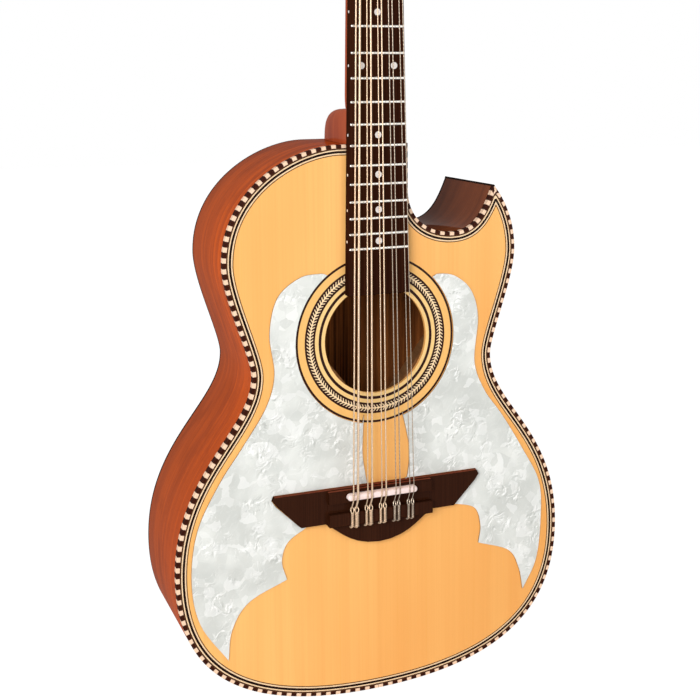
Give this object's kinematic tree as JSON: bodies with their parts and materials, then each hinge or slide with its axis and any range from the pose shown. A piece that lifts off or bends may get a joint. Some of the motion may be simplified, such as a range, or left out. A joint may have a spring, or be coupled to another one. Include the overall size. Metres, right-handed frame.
{
  "type": "bajo quinto",
  "caption": "Acoustic double-course bajo quinto with a pointed cutaway, twin pearl pickguards, tie-block bridge and open worm-gear tuning machines.",
  "frame": {"origin": "middle of the bounding box in plan, on the plane of the end pin's face", "axes": "+Z from the tail to the head along the strings, -Y out of the soundboard, +X to the treble side with the cutaway"},
  "size_m": [0.324, 0.1209, 1.0065],
  "materials": {
    "spruce": "gloss lacquer over fine straight grain",
    "mahogany": "gloss lacquer, warm red brown",
    "cedar": "bare sanded wood",
    "ebony": "satin, nearly black",
    "rosewood": "satin oiled dark brown",
    "rope_binding": "cream and brown blocks under gloss lacquer",
    "dark_binding": "gloss dark brown",
    "rosette_inlay": "light rings and a herringbone band under lacquer",
    "pearl_plastic": "white pearl figure, polished",
    "bone": "polished cream",
    "steel": "bright plain wire",
    "plated_steel": "bright plating",
    "wound_bronze": "wound wire",
    "gilt_brass": "polished"
  },
  "bodies": {
    "instrument": {"soundboard": "spruce", "back": "mahogany", "side_bass": "mahogany", "side_treble": "mahogany", "side_cutaway": "mahogany", "top_binding": "rope_binding", "back_binding": "dark_binding", "rosette": "rosette_inlay", "top_lining": "cedar", "back_lining": "cedar", "neck_block": "cedar", "tail_block": "cedar", "x_brace": "spruce", "upper_brace": "spruce", "tone_bar": "spruce", "bridge_plate": "rosewood", "back_brace_lower": "cedar", "back_brace_upper": "cedar", "end_pin": "bone", "pickguard_bass": "pearl_plastic", "pickguard_treble": "pearl_plastic", "bridge": "ebony", "saddle": "bone", "fingerboard": "rosewood", "nut": "bone", "neck": "mahogany", "truss_rod": "steel", "head_veneer": "ebony", "tuner_plate_bass": "gilt_brass", "tuner_plate_treble": "gilt_brass", "string_1": "wound_bronze", "string_2": "wound_bronze", "string_3": "wound_bronze", "string_4": "wound_bronze", "string_5": "wound_bronze", "string_6": "wound_bronze", "string_7": "steel", "string_8": "steel", "string_9": "steel", "string_10": "steel"},
    "key_bass_1": {"key_bass_1": "pearl_plastic"},
    "post_bass_1": {"post_bass_1": "plated_steel"},
    "key_bass_2": {"key_bass_2": "pearl_plastic"},
    "post_bass_2": {"post_bass_2": "plated_steel"},
    "key_bass_3": {"key_bass_3": "pearl_plastic"},
    "post_bass_3": {"post_bass_3": "plated_steel"},
    "key_bass_4": {"key_bass_4": "pearl_plastic"},
    "post_bass_4": {"post_bass_4": "plated_steel"},
    "key_bass_5": {"key_bass_5": "pearl_plastic"},
    "post_bass_5": {"post_bass_5": "plated_steel"},
    "key_treble_1": {"key_treble_1": "pearl_plastic"},
    "post_treble_1": {"post_treble_1": "plated_steel"},
    "key_treble_2": {"key_treble_2": "pearl_plastic"},
    "post_treble_2": {"post_treble_2": "plated_steel"},
    "key_treble_3": {"key_treble_3": "pearl_plastic"},
    "post_treble_3": {"post_treble_3": "plated_steel"},
    "key_treble_4": {"key_treble_4": "pearl_plastic"},
    "post_treble_4": {"post_treble_4": "plated_steel"},
    "key_treble_5": {"key_treble_5": "pearl_plastic"},
    "post_treble_5": {"post_treble_5": "plated_steel"}
  },
  "joints": [
    {"name": "key_bass_1_turn", "type": "hinge", "parent": "instrument", "child": "key_bass_1", "pos_m": [-0.021, -0.01925, 0.853], "axis": [1, 0, 0], "continuous": true},
    {"name": "post_bass_1_turn", "type": "hinge", "parent": "instrument", "child": "post_bass_1", "pos_m": [-0.021, -0.01739, 0.86104], "axis": [0, 0.9744, -0.225], "continuous": true},
    {"name": "key_bass_2_turn", "type": "hinge", "parent": "instrument", "child": "key_bass_2", "pos_m": [-0.021, -0.01317, 0.87931], "axis": [1, 0, 0], "continuous": true},
    {"name": "post_bass_2_turn", "type": "hinge", "parent": "instrument", "child": "post_bass_2", "pos_m": [-0.021, -0.01132, 0.88735], "axis": [0, 0.9744, -0.225], "continuous": true},
    {"name": "key_bass_3_turn", "type": "hinge", "parent": "instrument", "child": "key_bass_3", "pos_m": [-0.021, -0.0071, 0.90562], "axis": [1, 0, 0], "continuous": true},
    {"name": "post_bass_3_turn", "type": "hinge", "parent": "instrument", "child": "post_bass_3", "pos_m": [-0.021, -0.00524, 0.91366], "axis": [0, 0.9744, -0.225], "continuous": true},
    {"name": "key_bass_4_turn", "type": "hinge", "parent": "instrument", "child": "key_bass_4", "pos_m": [-0.021, -0.00103, 0.93193], "axis": [1, 0, 0], "continuous": true},
    {"name": "post_bass_4_turn", "type": "hinge", "parent": "instrument", "child": "post_bass_4", "pos_m": [-0.021, 0.00083, 0.93997], "axis": [0, 0.9744, -0.225], "continuous": true},
    {"name": "key_bass_5_turn", "type": "hinge", "parent": "instrument", "child": "key_bass_5", "pos_m": [-0.021, 0.00505, 0.95823], "axis": [1, 0, 0], "continuous": true},
    {"name": "post_bass_5_turn", "type": "hinge", "parent": "instrument", "child": "post_bass_5", "pos_m": [-0.021, 0.0069, 0.96627], "axis": [0, 0.9744, -0.225], "continuous": true},
    {"name": "key_treble_1_turn", "type": "hinge", "parent": "instrument", "child": "key_treble_1", "pos_m": [0.021, -0.01925, 0.853], "axis": [1, 0, 0], "continuous": true},
    {"name": "post_treble_1_turn", "type": "hinge", "parent": "instrument", "child": "post_treble_1", "pos_m": [0.021, -0.01739, 0.86104], "axis": [0, 0.9744, -0.225], "continuous": true},
    {"name": "key_treble_2_turn", "type": "hinge", "parent": "instrument", "child": "key_treble_2", "pos_m": [0.021, -0.01317, 0.87931], "axis": [1, 0, 0], "continuous": true},
    {"name": "post_treble_2_turn", "type": "hinge", "parent": "instrument", "child": "post_treble_2", "pos_m": [0.021, -0.01132, 0.88735], "axis": [0, 0.9744, -0.225], "continuous": true},
    {"name": "key_treble_3_turn", "type": "hinge", "parent": "instrument", "child": "key_treble_3", "pos_m": [0.021, -0.0071, 0.90562], "axis": [1, 0, 0], "continuous": true},
    {"name": "post_treble_3_turn", "type": "hinge", "parent": "instrument", "child": "post_treble_3", "pos_m": [0.021, -0.00524, 0.91366], "axis": [0, 0.9744, -0.225], "continuous": true},
    {"name": "key_treble_4_turn", "type": "hinge", "parent": "instrument", "child": "key_treble_4", "pos_m": [0.021, -0.00103, 0.93193], "axis": [1, 0, 0], "continuous": true},
    {"name": "post_treble_4_turn", "type": "hinge", "parent": "instrument", "child": "post_treble_4", "pos_m": [0.021, 0.00083, 0.93997], "axis": [0, 0.9744, -0.225], "continuous": true},
    {"name": "key_treble_5_turn", "type": "hinge", "parent": "instrument", "child": "key_treble_5", "pos_m": [0.021, 0.00505, 0.95823], "axis": [1, 0, 0], "continuous": true},
    {"name": "post_treble_5_turn", "type": "hinge", "parent": "instrument", "child": "post_treble_5", "pos_m": [0.021, 0.0069, 0.96627], "axis": [0, 0.9744, -0.225], "continuous": true}
  ],
  "couplings": [
    {"joint": "post_bass_1_turn", "follows": "key_bass_1_turn", "ratio": 0.071429},
    {"joint": "post_bass_2_turn", "follows": "key_bass_2_turn", "ratio": 0.071429},
    {"joint": "post_bass_3_turn", "follows": "key_bass_3_turn", "ratio": 0.071429},
    {"joint": "post_bass_4_turn", "follows": "key_bass_4_turn", "ratio": 0.071429},
    {"joint": "post_bass_5_turn", "follows": "key_bass_5_turn", "ratio": 0.071429},
    {"joint": "post_treble_1_turn", "follows": "key_treble_1_turn", "ratio": 0.071429},
    {"joint": "post_treble_2_turn", "follows": "key_treble_2_turn", "ratio": 0.071429},
    {"joint": "post_treble_3_turn", "follows": "key_treble_3_turn", "ratio": 0.071429},
    {"joint": "post_treble_4_turn", "follows": "key_treble_4_turn", "ratio": 0.071429},
    {"joint": "post_treble_5_turn", "follows": "key_treble_5_turn", "ratio": 0.071429}
  ]
}
